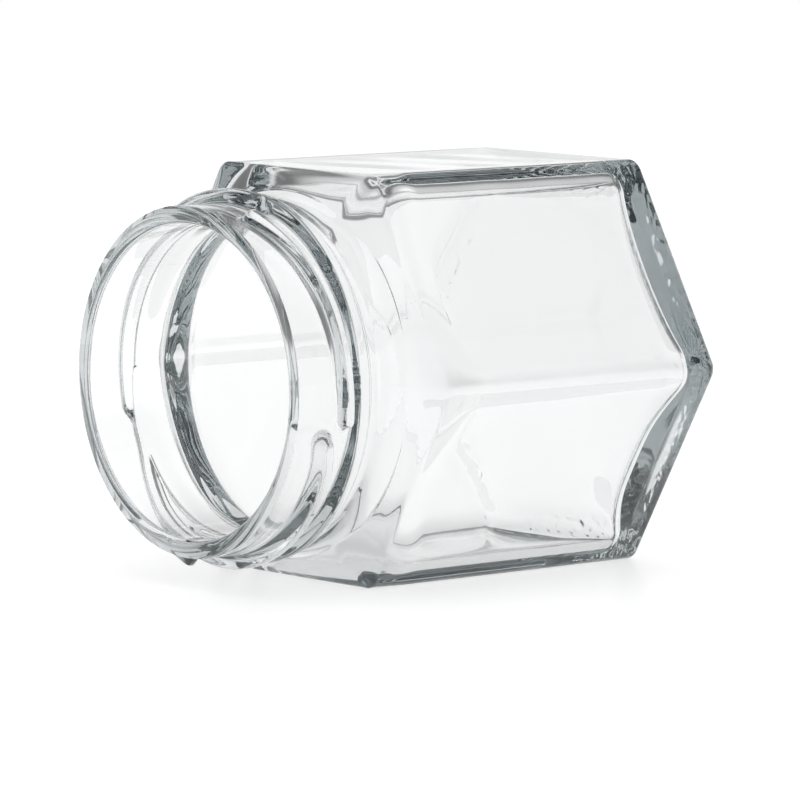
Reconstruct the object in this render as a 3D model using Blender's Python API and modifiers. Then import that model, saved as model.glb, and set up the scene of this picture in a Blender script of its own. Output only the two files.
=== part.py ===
"""A six-sided clear glass jar with a round lug-thread mouth, lying on one flat side.

World frame: metres, +Z up, the resting panel on Z = 0. The jar's long axis is world X, with the mouth at -X and
the base at +X. The origin is under the middle of the jar's length.
Depths below are measured along that axis from the rim plane towards the base.
"""

import math

import bmesh
import bpy
import numpy as np

MM = 0.001
LENGTH = 76.2 * MM  # rim plane to base plane
ACROSS_FLATS = 63.0 * MM
RIDGE_RADIUS = 2.4 * MM
HEEL_RADIUS = 1.7 * MM
SHOULDER_DEPTH = 21.3 * MM  # rim plane to the six-sided edge of the shoulder
SHOULDER_END = 24.8 * MM  # where the rounding of that edge has ended on the panels
EDGE_SHARE = 0.24  # width of that rounding, as a share of the shoulder's rise
SHOULDER_CLIMBS = (0.1, 0.25, 0.4, 0.55, 0.7, 0.82, 0.94, 1.06, 1.18, 1.32)
ROOT_EASE = (-0.5, 0.7)  # climbs between which the shoulder's slope grows to its full steepness

NECK_RADIUS = 26.7 * MM
BORE_RADIUS = 24.0 * MM
LIP_OUTER_ROUND = 1.3 * MM
LIP_INNER_ROUND = 1.1 * MM
BEAD_RADIUS = 28.4 * MM
BEAD_START = 9.7 * MM
BEAD_CREST = (10.7 * MM, 11.7 * MM)
BEAD_END = 14.4 * MM
BEAD_SHARES = (0.0, 0.25, 0.5, 0.75, 1.0)
SHOULDER_ROOT = 15.2 * MM  # end of the groove between the bead and the shoulder

WALL = 2.2 * MM
INNER_CORNER_RADIUS = 5.5 * MM
ABOVE_RIM = 2.0 * MM  # how far the cutter of the cavity stands out of the mouth
BORE_DEPTH = 17.0 * MM
THROAT_ROUND = 5.0 * MM
THROAT_TURN = math.radians(62)  # how far the throat has turned outwards where the inner shoulder takes over
INNER_SHOULDER_END = 25.8 * MM
FLOOR_MIDDLE = 70.0 * MM  # rim plane to the middle of the cavity's floor
FLOOR_CORNER = 73.2 * MM  # the same in the cavity's corners, before their rounding
FLOOR_ROUND = 4.2 * MM
FLOOR_POWER = 4  # how late, on the way out, the floor falls away to its corners
FLOOR_RINGS = (0.8, 0.6, 0.4, 0.2)  # shares of the floor's reach
BASE_RECESS = 0.8 * MM
RECESS_INSETS = (5.0 * MM, 7.0 * MM, 9.0 * MM)

LUG_RADIUS = 28.9 * MM
LUG_END = 2.2 * MM  # length over which a lug's end sinks into the neck
LUG_LEAST = 0.35  # width of a lug's end, as a share of its full width
LUG_RISE = 0.5  # how far a lug's centre line stands off the neck at most, as a share of its half width
# Each lug: turn in degrees, clockwise looking into the mouth with 0 at -Y, depth of its centre, half its width.
LUG_PATHS = (
    ((165, 8.0, 1.5), (210, 8.4, 1.5), (250, 9.0, 1.4), (286, 9.4, 1.2)),
    ((290, 3.4, 1.5), (301, 4.8, 1.5), (315, 6.3, 1.5), (345, 6.9, 1.4), (371, 7.7, 1.2)),
    ((12, 4.6, 1.8), (24, 6.0, 1.7), (60, 6.6, 1.5), (90, 7.4, 1.3), (109, 8.0, 1.1)),
    ((95, 3.4, 1.5), (107, 4.8, 1.4), (125, 6.5, 1.4), (150, 8.6, 1.2), (161, 8.9, 1.1)),
)

PER_FLAT = 7
PER_CORNER = 5
NECK_STEPS = 72
LUG_STEPS = 26
LUG_ROUNDNESS = 3
SINK = 0.6 * MM  # how far a lug's centre line dips below the neck's skin at its ends

SHARP_ANGLE = math.radians(35)

AXIS_HEIGHT = ACROSS_FLATS / 2
FLAT = ACROSS_FLATS / 2


def clear_scene():
    for item in list(bpy.data.objects):
        bpy.data.objects.remove(item, do_unlink=True)


def helper_collection():
    helpers = bpy.data.collections.new("helpers")
    bpy.context.scene.collection.children.link(helpers)
    return helpers


def along(depth):
    """World X of a depth behind the rim plane."""
    return depth - LENGTH / 2


def rounded_hexagon(inradius, corner_radius):
    """Points of a hexagon with flat top and bottom and rounded corners, anticlockwise in (y, z)."""
    centre_distance = (inradius - corner_radius) / math.cos(math.pi / 6)
    corners = []
    for k in range(6):
        middle = k * math.pi / 3
        centre = centre_distance * np.array([math.cos(middle), math.sin(middle)])
        turns = np.linspace(-math.pi / 6, math.pi / 6, PER_CORNER) + middle
        corners.append(centre + corner_radius * np.column_stack([np.cos(turns), np.sin(turns)]))
    points = []
    for k in range(6):
        start = corners[k][-1]
        end = corners[(k + 1) % 6][0]
        steps = np.linspace(0, 1, PER_FLAT + 1)[1:-1, None]
        points.extend([corners[k], start + (end - start) * steps])
    return np.concatenate(points)


def circle(radius, outline):
    """Points of a circle at the same turns as the points of an outline."""
    turns = np.arctan2(outline[:, 1], outline[:, 0])
    return radius * np.column_stack([np.cos(turns), np.sin(turns)])


def smooth_step(low, high, value):
    t = min(max((value - low) / (high - low), 0), 1)
    return t * t * (3 - 2 * t)


def loft(name, rings, collection):
    """A closed solid through a row of sections, from the mouth side to the base side.

    Hand-built, as no modelling tool joins round sections to six-sided ones with this many stations.
    """
    count = len(rings[0][1])
    mesh = bmesh.new()
    rows = []
    for depth, outline in rings:
        rows.append([mesh.verts.new((along(d), y, z + AXIS_HEIGHT)) for d, (y, z) in zip(depth, outline)])
    for near, far in zip(rows, rows[1:]):
        for i in range(count):
            j = (i + 1) % count
            mesh.faces.new((near[i], near[j], far[j], far[i]))
    for row, turn in ((rows[0], -1), (rows[-1], 1)):
        middle = mesh.verts.new(np.mean([v.co for v in row], axis=0))
        for i in range(count):
            mesh.faces.new((row[i], row[(i + 1) % count], middle)[::turn])
    bmesh.ops.recalc_face_normals(mesh, faces=mesh.faces)
    data = bpy.data.meshes.new(name)
    mesh.to_mesh(data)
    mesh.free()
    made = bpy.data.objects.new(name, data)
    collection.objects.link(made)
    return made


def level(depth, outline):
    return np.full(len(outline), depth), outline


def shoulder_outline(climb):
    """The shoulder's section part of the way up: round at climb 0, six-sided a little past climb 1."""
    hexagon = rounded_hexagon(FLAT, RIDGE_RADIUS)
    full = np.hypot(*hexagon.T)
    rise = full - NECK_RADIUS
    reach = NECK_RADIUS + rise * climb * smooth_step(*ROOT_EASE, climb)
    width = EDGE_SHARE * rise
    near = np.maximum(width - np.abs(reach - full), 0)
    reach = np.minimum(reach, full) - near**2 / (4 * width)
    return hexagon * (reach / full)[:, None]


# The outer body: round shoulder root, six-sided edge, panels, rounded heel and a shallow recess in the base.
def body_rings():
    hexagon = rounded_hexagon(FLAT, RIDGE_RADIUS)
    rings = [level(BEAD_END, circle(NECK_RADIUS - SINK, hexagon))]
    rings.append(level(SHOULDER_ROOT - SINK / 2, circle(NECK_RADIUS - SINK / 6, hexagon)))
    for climb in SHOULDER_CLIMBS:
        depth = SHOULDER_ROOT + climb * (SHOULDER_DEPTH - SHOULDER_ROOT)
        rings.append(level(depth, shoulder_outline(climb)))
    rings.append(level(SHOULDER_END, hexagon))
    for turn in np.radians([0, 22, 45, 67, 90]):
        depth = LENGTH - HEEL_RADIUS + HEEL_RADIUS * math.sin(turn)
        inset = HEEL_RADIUS * (1 - math.cos(turn))
        rings.append(level(depth, rounded_hexagon(FLAT - inset, RIDGE_RADIUS)))
    for inset in RECESS_INSETS:
        dish = BASE_RECESS * smooth_step(RECESS_INSETS[0], RECESS_INSETS[-1], inset)
        rings.append(level(LENGTH - dish, rounded_hexagon(FLAT - inset, RIDGE_RADIUS)))
    return rings


def floor_depth(outline, reach):
    """Depth of the cavity's floor, which is pushed up in the middle and deepest in the corners."""
    return FLOOR_MIDDLE + (FLOOR_CORNER - FLOOR_MIDDLE) * (np.hypot(*outline.T) / reach) ** FLOOR_POWER


# The inside: rounded lip, bore, throat, inner shoulder, rounded panels and a floor with a raised middle.
def cavity_rings():
    inner = FLAT - WALL
    full = rounded_hexagon(inner, INNER_CORNER_RADIUS)
    rings = [level(-ABOVE_RIM, circle(BORE_RADIUS + LIP_INNER_ROUND, full))]
    for turn in np.radians([90, 60, 30, 0]):
        depth = LIP_INNER_ROUND * (1 - math.sin(turn))
        rings.append(level(depth, circle(BORE_RADIUS + LIP_INNER_ROUND * (1 - math.cos(turn)), full)))
    for turn in np.linspace(0, THROAT_TURN, 6):
        depth = BORE_DEPTH + THROAT_ROUND * math.sin(turn)
        rings.append(level(depth, circle(BORE_RADIUS + THROAT_ROUND * (1 - math.cos(turn)), full)))
    throat_end = BORE_DEPTH + THROAT_ROUND * math.sin(THROAT_TURN)
    start = rings[-1][1]
    for turn in np.radians([18, 36, 54, 72, 90]):
        depth = throat_end + (INNER_SHOULDER_END - throat_end) * (1 - math.cos(turn))
        rings.append(level(depth, start + (full - start) * math.sin(turn)))
    reach = np.hypot(*full.T).max()
    for turn in np.radians([0, 20, 40, 60, 78, 90]):
        inset = FLOOR_ROUND * (1 - math.cos(turn))
        outline = rounded_hexagon(inner - inset, INNER_CORNER_RADIUS - inset / 2)
        rings.append((floor_depth(outline, reach) - FLOOR_ROUND * (1 - math.sin(turn)), outline))
    last = rings[-1][1]
    for size in FLOOR_RINGS:
        rings.append((floor_depth(last * size, reach), last * size))
    return rings


# The finish: lip, straight neck and bead, turned from a profile.
def neck(collection):
    profile = [(0.0, 0.0), (0.0, NECK_RADIUS - LIP_OUTER_ROUND)]
    for turn in np.radians([30, 60, 90]):
        profile.append(
            (LIP_OUTER_ROUND * (1 - math.cos(turn)), NECK_RADIUS - LIP_OUTER_ROUND * (1 - math.sin(turn)))
        )
    for share in BEAD_SHARES:
        depth = BEAD_START + (BEAD_CREST[0] - BEAD_START) * share
        profile.append((depth, NECK_RADIUS + (BEAD_RADIUS - NECK_RADIUS) * smooth_step(0, 1, share)))
    for share in BEAD_SHARES:
        depth = BEAD_CREST[1] + (BEAD_END - BEAD_CREST[1]) * share
        profile.append((depth, BEAD_RADIUS + (NECK_RADIUS - BEAD_RADIUS) * smooth_step(0, 1, share)))
    profile.append((SHOULDER_ROOT + SINK, NECK_RADIUS))
    profile.append((SHOULDER_ROOT + SINK, 0.0))
    data = bpy.data.meshes.new("neck")
    points = [(along(depth), radius, 0.0) for depth, radius in profile]
    data.from_pydata(points, [(i, i + 1) for i in range(len(points) - 1)], [])
    made = bpy.data.objects.new("neck", data)
    made.location.z = AXIS_HEIGHT
    collection.objects.link(made)
    turned = made.modifiers.new("turned", "SCREW")
    turned.axis = "X"
    turned.steps = NECK_STEPS
    turned.render_steps = NECK_STEPS
    turned.use_merge_vertices = True
    turned.merge_threshold = 0.00001
    turned.use_normal_calculate = True
    return made


def as_mesh(source, name, collection):
    """The evaluated shape of an object as a plain mesh object, in world space."""
    graph = bpy.context.evaluated_depsgraph_get()
    graph.update()
    evaluated = source.evaluated_get(graph)
    data = bpy.data.meshes.new_from_object(evaluated)
    data.transform(source.matrix_world)
    work = bmesh.new()
    work.from_mesh(data)
    bmesh.ops.remove_doubles(work, verts=work.verts, dist=1e-6)
    bmesh.ops.recalc_face_normals(work, faces=work.faces)
    work.to_mesh(data)
    work.free()
    made = bpy.data.objects.new(name, data)
    collection.objects.link(made)
    bpy.data.objects.remove(source, do_unlink=True)
    return made


# A lug: a round section swept round the neck, as wide and deep as its path says, with sunk round ends.
def lug(name, path, collection):
    curve = bpy.data.curves.new(name, "CURVE")
    curve.dimensions = "3D"
    curve.twist_mode = "MINIMUM"
    curve.bevel_depth = 1.0
    curve.bevel_resolution = LUG_ROUNDNESS
    curve.use_fill_caps = True
    spline = curve.splines.new("POLY")
    stations, depths, half_widths = np.array(path, float).T
    shares = (1 - np.cos(np.linspace(0, math.pi, LUG_STEPS))) / 2
    spline.points.add(len(shares) - 1)
    span = stations[-1] - stations[0]
    ends = LUG_END / (NECK_RADIUS * math.radians(span))
    for point, share in zip(spline.points, shares):
        station = stations[0] + span * share
        depth = np.interp(station, stations, depths) * MM
        width = np.interp(station, stations, half_widths) * MM
        near_end = min(share, 1 - share) / ends
        taper = math.sqrt(1 - (1 - min(near_end, 1)) ** 2)
        rise = min(LUG_RADIUS - width - NECK_RADIUS, LUG_RISE * width)
        radius = NECK_RADIUS + rise * taper - SINK * (1 - taper)
        turn = math.radians(station)
        point.co = (along(depth), -radius * math.cos(turn), AXIS_HEIGHT - radius * math.sin(turn), 1.0)
        point.radius = max(taper, LUG_LEAST) * width
    made = bpy.data.objects.new(name, curve)
    collection.objects.link(made)
    return made


def boolean(target, other, operation):
    step = target.modifiers.new(other.name, "BOOLEAN")
    step.object = other
    step.operation = operation
    step.solver = "EXACT"


def glass():
    material = bpy.data.materials.new("glass")
    material.use_nodes = True
    shader = material.node_tree.nodes["Principled BSDF"]
    shader.inputs["Base Color"].default_value = (0.93, 0.97, 0.96, 1)
    shader.inputs["Roughness"].default_value = 0.02
    shader.inputs["IOR"].default_value = 1.52
    shader.inputs["Transmission Weight"].default_value = 1.0
    return material


def hide(item):
    item.hide_render = True
    item.display_type = "WIRE"


def build():
    clear_scene()
    helpers = helper_collection()
    jar = loft("jar", body_rings(), bpy.context.scene.collection)
    bpy.context.view_layer.update()
    parts = [as_mesh(neck(helpers), "neck_solid", helpers)]
    for k, path in enumerate(LUG_PATHS):
        swept = lug("lug_path", path, helpers)
        bpy.context.view_layer.update()
        parts.append(as_mesh(swept, f"lug_solid_{k + 1}", helpers))
    for part in parts:
        hide(part)
        boolean(jar, part, "UNION")
    cavity = loft("cavity", cavity_rings(), helpers)
    hide(cavity)
    boolean(jar, cavity, "DIFFERENCE")
    jar.data.materials.append(glass())
    jar.data.shade_smooth()
    jar.data.set_sharp_from_angle(angle=SHARP_ANGLE)


build()
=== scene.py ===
"""A six-sided clear glass jar lying on one flat side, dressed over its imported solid."""

import math

import bpy
import numpy as np
from mathutils import Matrix, Vector


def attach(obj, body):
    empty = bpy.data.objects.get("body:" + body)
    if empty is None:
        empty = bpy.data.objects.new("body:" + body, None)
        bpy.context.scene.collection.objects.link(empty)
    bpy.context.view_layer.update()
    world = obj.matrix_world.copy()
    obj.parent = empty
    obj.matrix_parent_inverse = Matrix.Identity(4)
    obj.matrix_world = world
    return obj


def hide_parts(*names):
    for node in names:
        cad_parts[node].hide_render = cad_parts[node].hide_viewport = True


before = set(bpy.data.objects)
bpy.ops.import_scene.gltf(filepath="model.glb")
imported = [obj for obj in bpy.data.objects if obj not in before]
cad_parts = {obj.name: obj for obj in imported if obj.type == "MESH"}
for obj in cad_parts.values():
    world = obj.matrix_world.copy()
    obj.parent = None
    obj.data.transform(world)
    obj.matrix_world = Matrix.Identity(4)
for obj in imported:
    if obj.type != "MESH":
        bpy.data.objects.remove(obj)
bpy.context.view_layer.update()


# The jar: one piece of clear soda-lime glass, blown in a six-sided mould, with a pressed round mouth.
# Its skin is one stack of sections, from the cavity's floor up the inside to the lip and down the outside to
# the base. Sizes are in millimetres, and depths run along the axis from the rim plane to the base plane.
MM = 0.001
JAR_LENGTH = 76.2
AXIS_HEIGHT = 31.5
AROUND = 330
SECTOR = np.pi / 3


def crowded_turns(count, crowding=0.6):
    """Directions round the jar, closer together near the ridges: an even turn less a sine of six periods."""
    even = np.arange(count) * 2 * np.pi / count
    return even - crowding / 6 * np.sin(6 * even)


def hexagon_reach(turn, inradius, ridge):
    """Distance from the axis to a rounded hexagon: its flat divided by the cosine of the turn away from the
    flat's middle, or inside the ridge's turn the far crossing of the ridge's circle."""
    from_ridge = (turn + SECTOR / 2) % SECTOR - SECTOR / 2
    flat = inradius / np.cos(np.abs(from_ridge) - SECTOR / 2)
    middle = (inradius - ridge) / np.cos(SECTOR / 2)
    edge = np.arctan2(ridge * np.sin(SECTOR / 2), middle + ridge * np.cos(SECTOR / 2))
    inside = np.maximum(ridge**2 - (middle * np.sin(from_ridge)) ** 2, 0)
    rounded = middle * np.cos(from_ridge) + np.sqrt(inside)
    return np.where(np.abs(from_ridge) < edge, rounded, flat)


def soft_step(low, high, value):
    """Zero below low, one above high, and the cubic 3t^2 - 2t^3 in between."""
    t = np.clip((value - low) / (high - low), 0, 1)
    return t * t * (3 - 2 * t)


def softer_least(one, other, width):
    """The lesser of two heights, with their crossing rounded over the given width by a parabola."""
    near = np.maximum(width - np.abs(one - other), 0)
    return np.minimum(one, other) - near**2 / (4 * width)


def arc(first, last, steps):
    """Even steps from the first to the last of two angles given in degrees, as a column in radians."""
    return np.radians(np.linspace(first, last, steps))[:, None]


def between(first, last, steps):
    """Depths from first to last as a column, without the two ends."""
    return np.linspace(first, last, steps + 2)[1:-1, None]


turns = crowded_turns(AROUND)[None, :]
even_row = 0 * turns

# Outside of the mouth: the rounded lip, the straight neck, the bead, and the groove behind the bead.
NECK = 26.7
LIP_OUTER = 0.6
BEAD = 28.4
BEAD_START, BEAD_FRONT, BEAD_BACK, BEAD_END = 9.7, 10.7, 11.7, 14.4
ROOT = 15.4
lip_out = arc(0, 90, 12)
neck_depth = between(LIP_OUTER, BEAD_START, 60)
bead_rise = between(BEAD_START, BEAD_FRONT, 7)
bead_crest = between(BEAD_FRONT, BEAD_BACK, 4)
bead_fall = between(BEAD_BACK, BEAD_END, 12)
groove = between(BEAD_END, ROOT, 3)
lip_out_depth = LIP_OUTER * (1 - np.cos(lip_out))
mouth_depth = np.concatenate([lip_out_depth, neck_depth, bead_rise, bead_crest, bead_fall, groove]) + even_row
plain_mouth_reach = np.concatenate(
    [
        NECK - LIP_OUTER * (1 - np.sin(lip_out)),
        NECK + 0 * neck_depth,
        NECK + (BEAD - NECK) * soft_step(BEAD_START, BEAD_FRONT, bead_rise),
        BEAD + 0 * bead_crest,
        NECK + (BEAD - NECK) * (1 - soft_step(BEAD_BACK, BEAD_END, bead_fall)),
        NECK + 0 * groove,
    ]
)

# Four lugs stand on the neck and run down towards the bead as they go round, as a screw thread's starts do.
# Each row is a turn in degrees from the near side, looking into the mouth, then the lug's depth there and
# half its width. A lug's side falls away between two shares of its half width.
LUG_REACH = 28.9
LUG_SIDE = (0.3, 1.25)
LUG_LEAD = 40
LUG_PATHS = (
    ((162, 9.2, 1.7), (210, 8.8, 1.5), (250, 9.0, 1.4), (286, 9.4, 1.2)),
    ((290, 3.4, 1.5), (301, 4.8, 1.5), (315, 6.5, 1.5), (330, 7.4, 1.4), (345, 7.9, 1.3), (371, 8.7, 1.1)),
    ((12, 4.6, 1.8), (24, 6.0, 1.7), (60, 6.6, 1.5), (90, 7.4, 1.3), (109, 8.0, 1.1)),
    ((95, 3.6, 1.6), (107, 5.0, 1.5), (125, 6.8, 1.4), (150, 9.9, 1.2), (180, 11.0, 1.0)),
)


def lug_height(depth, turn, path):
    """Height of one lug over the neck: a flat-topped ridge whose height falls by a soft step with the
    distance from its middle line, measured in its own half widths, with rounded ends. Turns up to the lead
    before the first station count as before the lug, and all others as after it."""
    stations, middles, halves = np.array(path, float).T
    around = (np.degrees(turn) - 180 - stations[0] + LUG_LEAD) % 360 - LUG_LEAD + stations[0]
    first = stations[0] + np.degrees(halves[0] / NECK)
    last = stations[-1] - np.degrees(halves[-1] / NECK)
    nearest = np.clip(around, first, last)
    away_depth = depth - np.interp(nearest, stations, middles)
    away_turn = np.radians(around - nearest) * NECK
    away = np.hypot(away_depth, away_turn) / np.interp(nearest, stations, halves)
    return (LUG_REACH - NECK) * (1 - soft_step(*LUG_SIDE, away))


lugs = np.max([lug_height(mouth_depth, turns, path) for path in LUG_PATHS], axis=0)
mouth_reach = np.maximum(plain_mouth_reach, NECK + lugs)

# The shoulder swells from the round groove to the six sides, and its edge is rounded by a share of its rise.
# The panels then run straight to the heel.
FLAT = 31.5
RIDGE = 2.4
HEEL = 1.7
SHOULDER = 21.3
SHOULDER_END = SHOULDER + 3.5
SHOULDER_EDGE = 0.08
ROOT_EASE = (-0.5, 0.7)
panel = hexagon_reach(turns, FLAT, RIDGE)
shoulder_depth = between(ROOT, SHOULDER_END, 34) + even_row
climb = (shoulder_depth - ROOT) / (SHOULDER - ROOT)
slope = NECK + (panel - NECK) * climb * soft_step(*ROOT_EASE, climb)
shoulder_reach = softer_least(slope, panel, SHOULDER_EDGE * (panel - NECK))
side_depth = between(SHOULDER_END, JAR_LENGTH - HEEL, 6) + even_row
side_reach = panel + 0 * side_depth
heel = arc(0, 90, 12)
heel_depth = JAR_LENGTH - HEEL * (1 - np.sin(heel)) + even_row
heel_reach = hexagon_reach(turns, FLAT - HEEL * (1 - np.cos(heel)), RIDGE)

# The base stands on a rim and is dished a little inside it. Its ridges shrink with its sections.
RECESS = 0.8
RECESS_INSETS = (5.0, 9.0)
BASE_MIDDLE = 0.4
ROUNDEST = 0.9
inset = between(HEEL, FLAT - BASE_MIDDLE, 24)
base_depth = JAR_LENGTH - RECESS * soft_step(*RECESS_INSETS, inset) + even_row
base_reach = hexagon_reach(turns, FLAT - inset, np.minimum(RIDGE, ROUNDEST * (FLAT - inset)))

# Inside: the lip's inner round, the straight bore, and the throat that turns outwards under the shoulder.
# A long slope then leads to the inner faces of the panels.
BORE = 24.0
LIP_INNER = 0.6
BORE_END = 17.0
THROAT = 5.0
THROAT_TURN = 62
WALL = 2.6
CORNER = 5.5
UNDER_END = SHOULDER + 12.0
UNDER_SLOPE = 1.15
UNDER_ROUND = 4.0
lip_in = arc(90, 0, 9)[1:]
lip_in_depth = LIP_INNER * (1 - np.sin(lip_in)) + even_row
lip_in_reach = BORE + LIP_INNER * (1 - np.cos(lip_in)) + even_row
bore_depth = between(LIP_INNER, BORE_END, 6) + even_row
bore_reach = BORE + 0 * bore_depth
throat = arc(0, THROAT_TURN, 14)
throat_depth = BORE_END + THROAT * np.sin(throat) + even_row
throat_reach = BORE + THROAT * (1 - np.cos(throat)) + even_row
opening = arc(0, 90, 20)[1:]
inner_panel = hexagon_reach(turns, FLAT - WALL, CORNER)
under_depth = throat_depth[-1] + (UNDER_END - throat_depth[-1]) * (1 - np.cos(opening))
cone_reach = throat_reach[-1] + UNDER_SLOPE * (under_depth - throat_depth[-1])
under_reach = softer_least(cone_reach, inner_panel, UNDER_ROUND)

# The cavity's floor is pushed up in the middle and runs deepest into the six corners. The glass is thicker
# along the lower panel of the near side, where it settled, and thinner along the far side, with a tighter
# corner.
FLOOR_MIDDLE = 70.0
FLOOR_CORNER = 74.2
FLOOR_POWER = 6
SETTLED = 3.2
LOWER_PANEL = np.radians(210)
FAR_THINNER = 1.5
FAR_COSINES = (0.2, 0.8)
FLOOR_ROUND = 4.2
FAR_ROUND = 0.8
CORNER_LOSS = 0.5
CORNER_LEAST = 2.5
furthest = inner_panel.max()
far_side = soft_step(*FAR_COSINES, np.cos(turns))
from_lower = turns - LOWER_PANEL
on_lower = np.cos(from_lower) > np.cos(SECTOR / 2)
settled = SETTLED * soft_step(0, 1, np.cos(3 * from_lower) * on_lower) - FAR_THINNER * far_side


def floor_at(reach):
    """Depth of the cavity's floor: its middle plus the sixth power of the reach's share of the furthest
    reach, less the settled glass times that power's square root."""
    share = (reach / furthest) ** FLOOR_POWER
    return FLOOR_MIDDLE + (FLOOR_CORNER - FLOOR_MIDDLE) * share - settled * np.sqrt(share)


cove = arc(0, 90, 20)
cove_round = FLOOR_ROUND + (FAR_ROUND - FLOOR_ROUND) * far_side
cove_inset = cove_round * (1 - np.cos(cove))
cove_corner = np.maximum(CORNER - CORNER_LOSS * cove_inset, CORNER_LEAST)
cove_reach = hexagon_reach(turns, FLAT - WALL - cove_inset, cove_corner)
cove_depth = floor_at(cove_reach) - cove_round * (1 - np.sin(cove))
floor_reach = cove_reach[-1] * between(1, 0, 16)
floor_depth = floor_at(floor_reach)
wall_depth = under_depth[-1] + (cove_depth[0] - under_depth[-1]) * between(0, 1, 24)
wall_reach = inner_panel + 0 * wall_depth

inside_depths = [lip_in_depth, bore_depth, throat_depth, under_depth, wall_depth, cove_depth, floor_depth]
inside_reaches = [lip_in_reach, bore_reach, throat_reach, under_reach, wall_reach, cove_reach, floor_reach]
inside_depth = np.concatenate(inside_depths)[::-1]
inside_reach = np.concatenate(inside_reaches)[::-1]

# Blown glass is never quite even inside: below the throat its skin rolls by up to three hundredths of a
# millimetre, and the rolls fade towards the throat and the middle of the floor.
SKIN_ROLL = 0.01
LONG_WAVE, SHORT_WAVE, CELL_WAVE = 3.1, 1.9, 4.7
ROLL_DEPTHS = (BORE_END, SHOULDER + 4)
ROLL_REACHES = (2, 14)


def skin_rolls(depth, turn):
    """The sum of two sines that wind round the jar as they go down it, and of a product of sines in cells."""
    winding = np.sin(depth / LONG_WAVE + 2 * turn + 1.3) + np.sin(depth / SHORT_WAVE - 5 * turn)
    return winding + np.sin(7 * turn + 0.8) * np.sin(depth / CELL_WAVE)


fade = soft_step(*ROLL_DEPTHS, inside_depth) * soft_step(*ROLL_REACHES, inside_reach)
inside_reach = inside_reach + SKIN_ROLL * skin_rolls(inside_depth, turns) * fade
depths = np.concatenate([inside_depth, mouth_depth, shoulder_depth, side_depth, heel_depth, base_depth])
reaches = np.concatenate([inside_reach, mouth_reach, shoulder_reach, side_reach, heel_reach, base_reach])


def closed_skin(name, depths, reaches, first_depth, last_depth):
    """A closed mesh from a grid of depths and reaches: rows joined round and along, a pole at each end."""
    rows, around = depths.shape
    y = reaches * np.cos(turns)
    z = AXIS_HEIGHT + reaches * np.sin(turns)
    grid = np.stack([depths - JAR_LENGTH / 2, y, z], axis=-1).reshape(-1, 3)
    poles = [[first_depth - JAR_LENGTH / 2, 0, AXIS_HEIGHT], [last_depth - JAR_LENGTH / 2, 0, AXIS_HEIGHT]]
    points = np.concatenate([grid, poles]) * MM
    row, column = np.meshgrid(np.arange(rows - 1), np.arange(around), indexing="ij")
    here = row * around + column
    beside = row * around + (column + 1) % around
    quads = np.stack([here, beside, beside + around, here + around], axis=-1).reshape(-1, 4)
    ring = np.arange(around)
    following = (ring + 1) % around
    first_pole = rows * around
    first = np.stack([ring * 0 + first_pole, following, ring], axis=-1)
    last_row = first_pole - around
    last = np.stack([ring * 0 + first_pole + 1, last_row + ring, last_row + following], axis=-1)
    mesh = bpy.data.meshes.new(name)
    mesh.from_pydata(points.tolist(), [], quads.tolist() + first.tolist() + last.tolist())
    mesh.shade_smooth()
    made = bpy.data.objects.new(name, mesh)
    bpy.context.scene.collection.objects.link(made)
    return made


jar = closed_skin("jar_glass", depths, reaches, FLOOR_MIDDLE, JAR_LENGTH - RECESS)

# The glass is clear on its surface and takes a faint blue-grey tint from its depth.
GLASS_BEND = 1.52
GLASS_TINT = (0.555, 0.600, 0.612, 1)
TINT_DENSITY = 38.0
glass = bpy.data.materials.new("clear_jar_glass")
glass.use_nodes = True
nodes, links = glass.node_tree.nodes, glass.node_tree.links
shader = nodes["Principled BSDF"]
shader.inputs["Base Color"].default_value = (1, 1, 1, 1)
shader.inputs["Roughness"].default_value = 0.0
shader.inputs["IOR"].default_value = GLASS_BEND
shader.inputs["Transmission Weight"].default_value = 1.0
depth_tint = nodes.new("ShaderNodeVolumeAbsorption")
depth_tint.inputs["Color"].default_value = GLASS_TINT
depth_tint.inputs["Density"].default_value = TINT_DENSITY
links.new(depth_tint.outputs["Volume"], nodes["Material Output"].inputs["Volume"])

# The rim that the jar stands on when upright is stippled, as bearing surfaces of glass jars are. The stipple
# starts just before the base plane, in metres from the jar's middle.
STIPPLE_START, STIPPLE_FULL = 0.0374, 0.038
STIPPLE_SCALE = 420.0
STIPPLE_HEIGHT = 0.0004
place = nodes.new("ShaderNodeTexCoord")
grain = nodes.new("ShaderNodeTexNoise")
grain.inputs["Scale"].default_value = STIPPLE_SCALE
grain.inputs["Detail"].default_value = 1.0
links.new(place.outputs["Object"], grain.inputs["Vector"])
where = nodes.new("ShaderNodeSeparateXYZ")
links.new(place.outputs["Object"], where.inputs[0])
near_base = nodes.new("ShaderNodeMapRange")
near_base.inputs["From Min"].default_value = STIPPLE_START
near_base.inputs["From Max"].default_value = STIPPLE_FULL
links.new(where.outputs["X"], near_base.inputs["Value"])
bumps = nodes.new("ShaderNodeBump")
bumps.inputs["Distance"].default_value = STIPPLE_HEIGHT
links.new(near_base.outputs["Result"], bumps.inputs["Strength"])
links.new(grain.outputs["Fac"], bumps.inputs["Height"])
links.new(bumps.outputs["Normal"], shader.inputs["Normal"])
jar.data.materials.append(glass)
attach(jar, "root")
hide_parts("jar")


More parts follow.
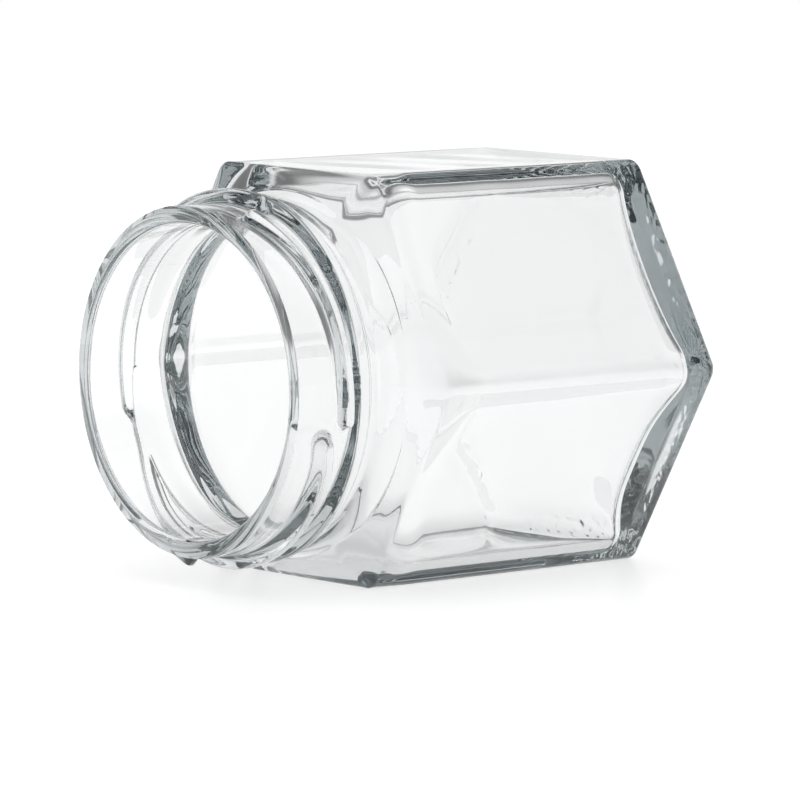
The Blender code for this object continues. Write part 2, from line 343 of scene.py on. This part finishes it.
# The table under the jar: a white satin board, much larger than the view and lit a little from within, as the
# white sweep of a studio table is. It lies a hair below the jar, so the two faces don't meet.
BOARD_RADIUS = 1.6
BOARD_CORNERS = 96
BOARD_HEIGHT = -0.00004
BOARD_WHITE = 0.75
BOARD_GLOW = 0.57
board = bpy.data.meshes.new("white_board")
corner_turns = np.arange(BOARD_CORNERS) * 2 * np.pi / BOARD_CORNERS
board_x = BOARD_RADIUS * np.cos(corner_turns)
board_y = BOARD_RADIUS * np.sin(corner_turns)
board_rim = np.column_stack([board_x, board_y, np.full(BOARD_CORNERS, BOARD_HEIGHT)])
board.from_pydata(board_rim.tolist(), [], [list(range(BOARD_CORNERS))])
board_object = bpy.data.objects.new("white_board", board)
bpy.context.scene.collection.objects.link(board_object)
board_paint = bpy.data.materials.new("white_board")
board_paint.use_nodes = True
paint = board_paint.node_tree.nodes["Principled BSDF"]
paint.inputs["Base Color"].default_value = (BOARD_WHITE, BOARD_WHITE, BOARD_WHITE, 1)
paint.inputs["Roughness"].default_value = 0.4
paint.inputs["Specular IOR Level"].default_value = 0.2
paint.inputs["Emission Color"].default_value = (1, 1, 1, 1)
paint.inputs["Emission Strength"].default_value = BOARD_GLOW
board.materials.append(board_paint)


# Studio light: a white sky near the horizon, a darker band above it and a soft box overhead, the same all
# round. Each level goes with a height of the sky, from zero at the horizon to one overhead, and the band
# draws the grey lines in the glass. The backdrop that shows behind the jar is plain white.
HORIZON_LEVEL, OVERHEAD_LEVEL = 1.0, 1.2
SKY_LEVELS = ((0.24, 1.0), (0.38, 0.22), (0.55, 0.2), (0.78, 0.7))
LIGHT_BOUNCES = 32


def grey(level):
    """A grey of the given level."""
    return (level, level, level, 1)


world = bpy.data.worlds.new("studio")
bpy.context.scene.world = world
world.use_nodes = True
sky, sky_links = world.node_tree.nodes, world.node_tree.links
sky.clear()
direction = sky.new("ShaderNodeTexCoord")
split = sky.new("ShaderNodeSeparateXYZ")
sky_links.new(direction.outputs["Generated"], split.inputs[0])
bands = sky.new("ShaderNodeValToRGB")
bands.color_ramp.interpolation = "EASE"
stops = bands.color_ramp.elements
stops[0].position = 0.0
stops[0].color = grey(HORIZON_LEVEL)
stops[1].position = 1.0
stops[1].color = grey(OVERHEAD_LEVEL)
for sky_height, level in SKY_LEVELS:
    stops.new(sky_height).color = grey(level)
height = sky.new("ShaderNodeMapRange")
height.inputs["From Min"].default_value = 0.0
height.inputs["From Max"].default_value = 1.0
sky_links.new(split.outputs["Z"], height.inputs["Value"])
sky_links.new(height.outputs["Result"], bands.inputs["Fac"])
seen = sky.new("ShaderNodeLightPath")
surround = sky.new("ShaderNodeBackground")
backdrop = sky.new("ShaderNodeBackground")
backdrop.inputs["Color"].default_value = grey(1)
blend = sky.new("ShaderNodeMixShader")
out = sky.new("ShaderNodeOutputWorld")
sky_links.new(bands.outputs["Color"], surround.inputs["Color"])
sky_links.new(seen.outputs["Is Camera Ray"], blend.inputs["Fac"])
sky_links.new(surround.outputs[0], blend.inputs[1])
sky_links.new(backdrop.outputs[0], blend.inputs[2])
sky_links.new(blend.outputs[0], out.inputs["Surface"])
bpy.context.scene.view_settings.view_transform = "Standard"

# Light crosses many faces of the glass before it leaves the jar, so its path is followed for long.
bpy.context.scene.cycles.max_bounces = LIGHT_BOUNCES
bpy.context.scene.cycles.transmission_bounces = LIGHT_BOUNCES
bpy.context.scene.cycles.glossy_bounces = LIGHT_BOUNCES


# The camera stands in front of the mouth's side, a little above the table, with a long lens. Distances are in
# metres, and the shifts put the jar where it lies in the picture.
AZIMUTH, ELEVATION, LEAN = (math.radians(angle) for angle in (-40.5, 6.47, 0.27))
DISTANCE = 0.9
FOCAL_PIXELS = 6440 * DISTANCE
PICTURE_PIXELS = 800
SENSOR = 36
AIM = Vector((0.0031, 0, 0.0315))
SHIFT_RIGHT, SHIFT_DOWN = 0.00085, 0.0055
back = Vector(
    (
        math.sin(AZIMUTH) * math.cos(ELEVATION),
        -math.cos(AZIMUTH) * math.cos(ELEVATION),
        math.sin(ELEVATION),
    )
)
level_right = Vector((0, 0, 1)).cross(back).normalized()
level_up = back.cross(level_right)
right = level_right * math.cos(LEAN) + level_up * math.sin(LEAN)
up = back.cross(right)
aim = AIM + level_right * SHIFT_RIGHT - level_up * SHIFT_DOWN
camera_data = bpy.data.cameras.new("camera")
camera_data.sensor_width = SENSOR
camera_data.lens = FOCAL_PIXELS * SENSOR / PICTURE_PIXELS
camera_data.clip_start = 0.05
camera_data.clip_end = 20
camera = bpy.data.objects.new("camera", camera_data)
facing = Matrix((right, up, back)).transposed().to_4x4()
camera.matrix_world = Matrix.Translation(aim + back * DISTANCE) @ facing
bpy.context.scene.collection.objects.link(camera)
bpy.context.scene.camera = camera
